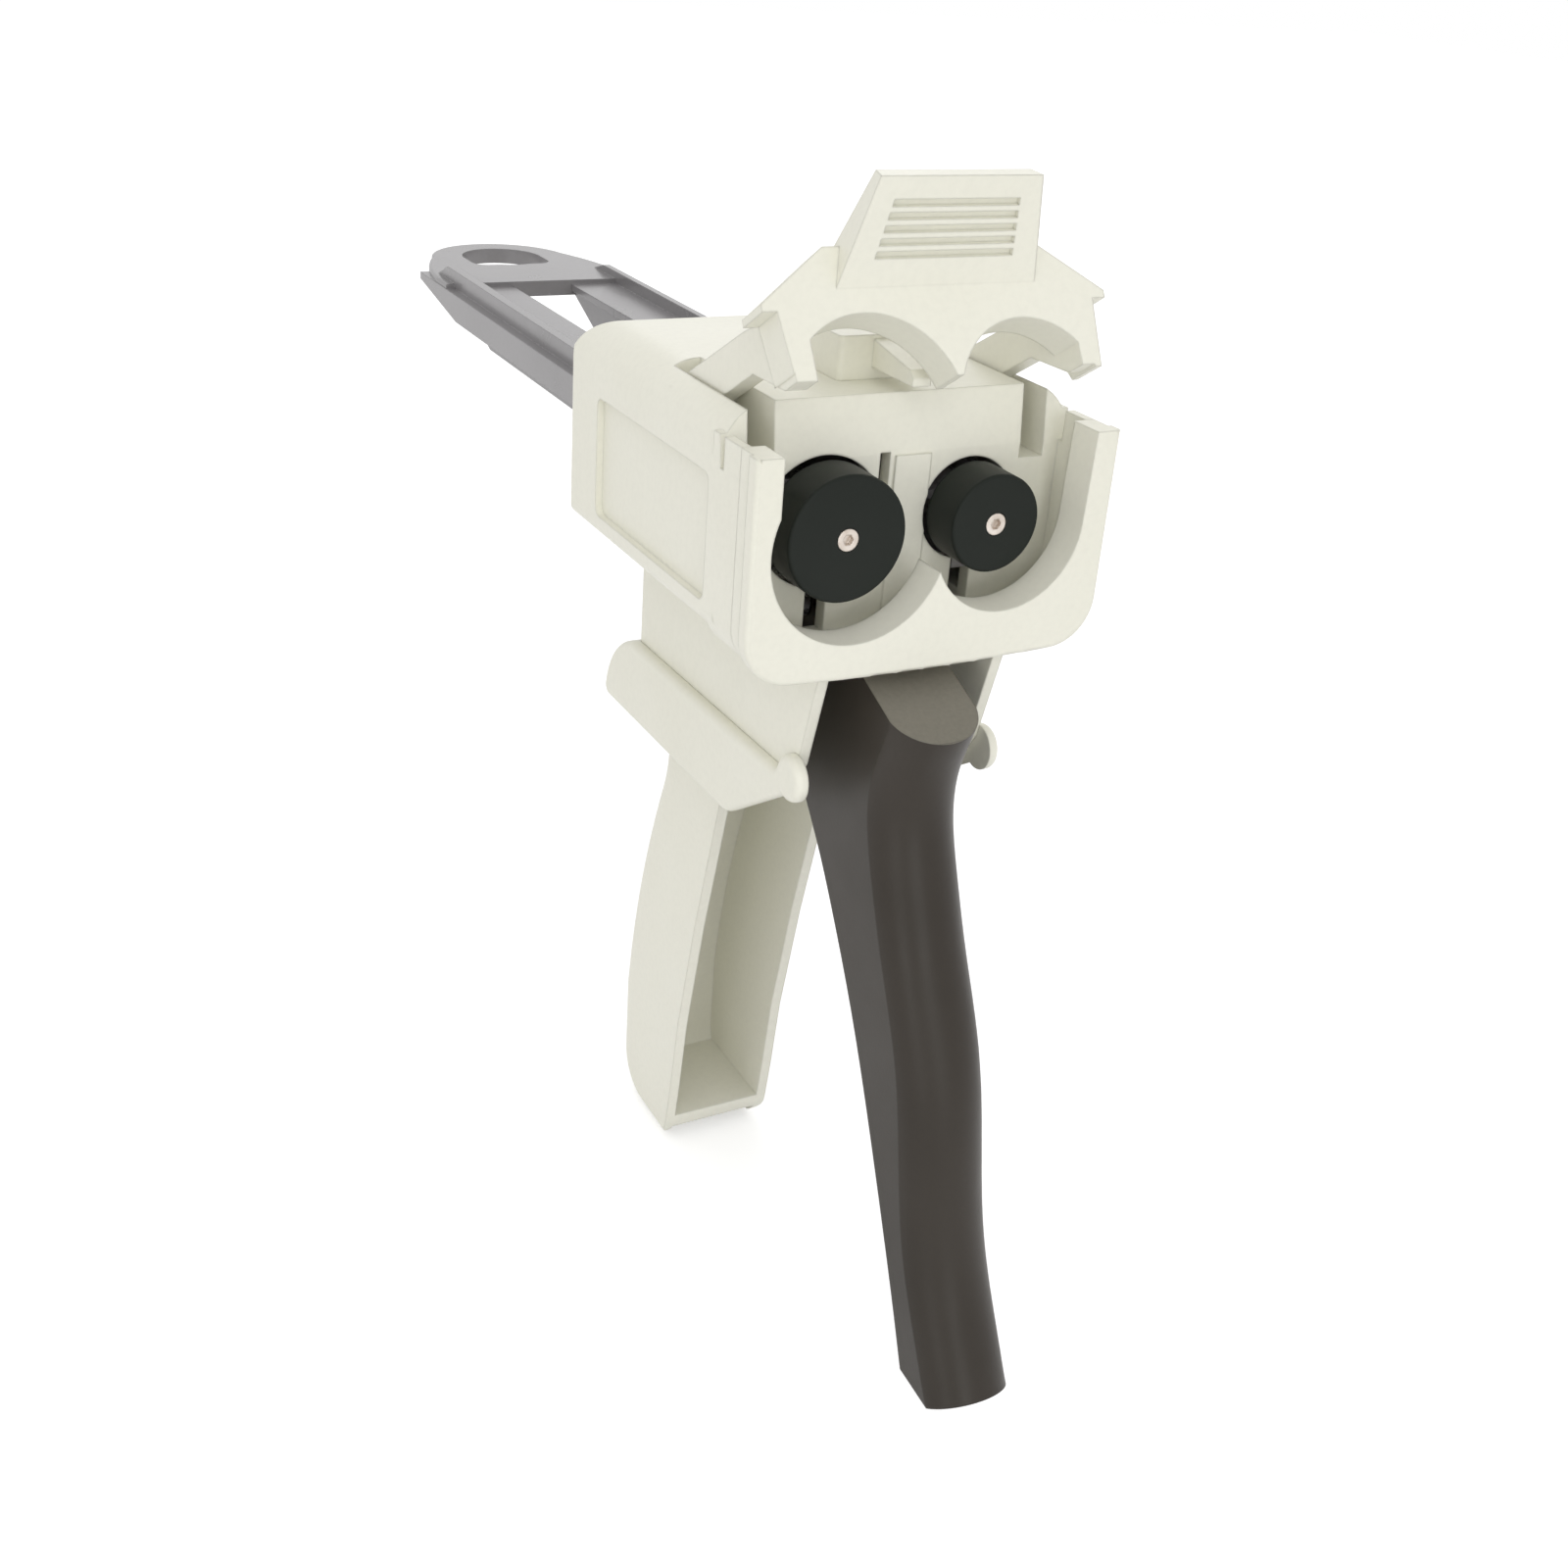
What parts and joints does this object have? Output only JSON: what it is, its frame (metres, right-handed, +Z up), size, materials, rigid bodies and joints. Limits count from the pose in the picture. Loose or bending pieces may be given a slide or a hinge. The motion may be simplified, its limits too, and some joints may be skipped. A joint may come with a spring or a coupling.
{
  "type": "dental dispensing tool",
  "caption": "Hand-held dispenser for twin-barrel cartridges: pivoting trigger, toothed twin-bar plunger rack with finger ring, release lever and hinged cartridge lock",
  "frame": {"origin": "midway between the two plunger axes, on the front plane of the cartridge yoke", "axes": "+X to the side of the small piston, +Y rearward along the rack, +Z up, the way a cartridge is lifted out"},
  "size_m": [0.0592, 0.2352, 0.193],
  "materials": {
    "ivory_plastic": "satin moulded plastic",
    "trigger_plastic": "fine matte dark brown-grey plastic",
    "rack_plastic": "polished grey glass-filled plastic",
    "piston_plastic": "matte black plastic",
    "pin_steel": "ground steel",
    "screw_steel": "plated steel",
    "spring_steel": "drawn spring wire"
  },
  "bodies": {
    "frame": {"housing": "ivory_plastic", "front_yoke": "ivory_plastic", "handle_frame": "ivory_plastic", "handle_screws": "screw_steel", "rear_cover": "ivory_plastic", "rear_cover_screws": "screw_steel", "top_catch": "ivory_plastic", "trigger_pin": "pin_steel", "release_pin": "pin_steel", "lever_pin": "pin_steel", "trigger_spring": "spring_steel", "release_spring": "spring_steel"},
    "rack": {"plunger_rack": "rack_plastic", "large_piston": "piston_plastic", "small_piston": "piston_plastic", "piston_screws": "screw_steel"},
    "trigger": {"trigger": "trigger_plastic", "drive_pawl_pin": "pin_steel", "drive_pawl_spring": "spring_steel"},
    "pawl": {"drive_pawl": "pin_steel"},
    "release": {"release_lever": "rack_plastic"},
    "lock": {"lock_lever": "ivory_plastic"}
  },
  "joints": [
    {"name": "rack_advance", "type": "slide", "parent": "frame", "child": "rack", "axis": [0, -1, 0], "range_m": [0, 0.088]},
    {"name": "trigger_pull", "type": "hinge", "parent": "frame", "child": "trigger", "pos_m": [0, 0.0215, -0.025], "axis": [1, 0, 0], "range_deg": [0, 36], "stiffness_Nm_per_rad": 0.3, "springref_deg": -20.05, "deforming": ["trigger_spring"]},
    {"name": "pawl_swing", "type": "hinge", "parent": "trigger", "child": "pawl", "pos_m": [0, 0.0243, -0.01645], "axis": [1, 0, 0], "range_deg": [-36, 0], "deforming": ["drive_pawl_spring"]},
    {"name": "release_press", "type": "hinge", "parent": "frame", "child": "release", "pos_m": [0, 0.05, -0.022], "axis": [-1, 0, 0], "range_deg": [0, 12], "stiffness_Nm_per_rad": 0.2, "springref_deg": -11.46, "deforming": ["release_spring"]},
    {"name": "lock_swing", "type": "hinge", "parent": "frame", "child": "lock", "pos_m": [0, 0.033, 0.0134], "axis": [1, 0, 0], "range_deg": [0, 32.8]}
  ],
  "couplings": [
    {"joint": "pawl_swing", "follows": "trigger_pull", "ratio": -1}
  ]
}
